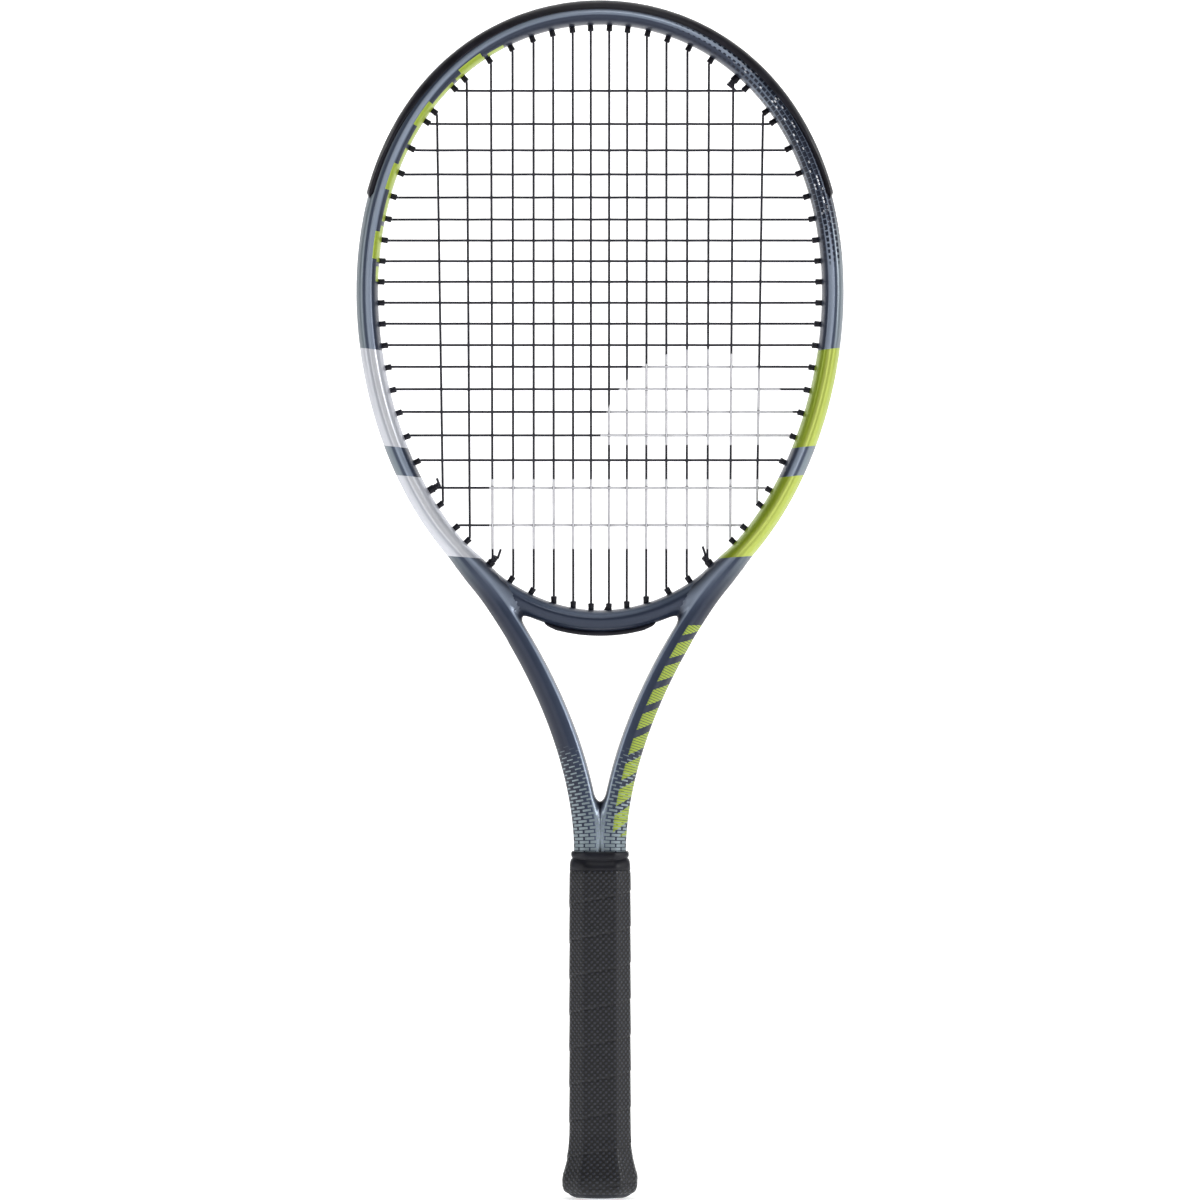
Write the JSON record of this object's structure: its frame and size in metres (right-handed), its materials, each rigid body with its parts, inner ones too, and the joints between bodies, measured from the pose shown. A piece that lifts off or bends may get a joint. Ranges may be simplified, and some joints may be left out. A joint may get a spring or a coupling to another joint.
{
  "type": "tennis racket",
  "caption": "Strung adult tennis racket with a hollow moulded frame, open throat, lined string holes, woven strings and a wrapped handle with a sliding rubber collar.",
  "frame": {"origin": "centre of the butt cap's underside", "axes": "+Z along the racket from the butt to the head's top, -Y out of the front string face, +X to the right seen from the front"},
  "size_m": [0.2784, 0.0406, 0.6842],
  "materials": {
    "frame_paint": "satin",
    "guard_nylon": "matte",
    "string": "satin",
    "pallet_foam": "matte",
    "cap_plastic": "satin",
    "badge": "satin",
    "steel": "satin",
    "grip": "matte",
    "tape": "satin",
    "collar_rubber": "matte"
  },
  "bodies": {
    "racket": {"frame": "frame_paint", "bumper_guard": "guard_nylon", "right_grommet_strip": "guard_nylon", "left_grommet_strip": "guard_nylon", "throat_grommet_strip": "guard_nylon", "main_string": "string", "cross_string": "string", "front_pallet_half": "pallet_foam", "rear_pallet_half": "pallet_foam", "butt_cap": "cap_plastic", "butt_badge": "badge", "cap_staples": "steel", "grip_tack": "steel", "base_grip": "grip", "finishing_tape": "tape"},
    "collar": {"grip_collar": "collar_rubber"}
  },
  "joints": [
    {"name": "collar_slide", "type": "slide", "parent": "racket", "child": "collar", "axis": [0, 0, 1], "range_m": [0, 0.005]}
  ]
}
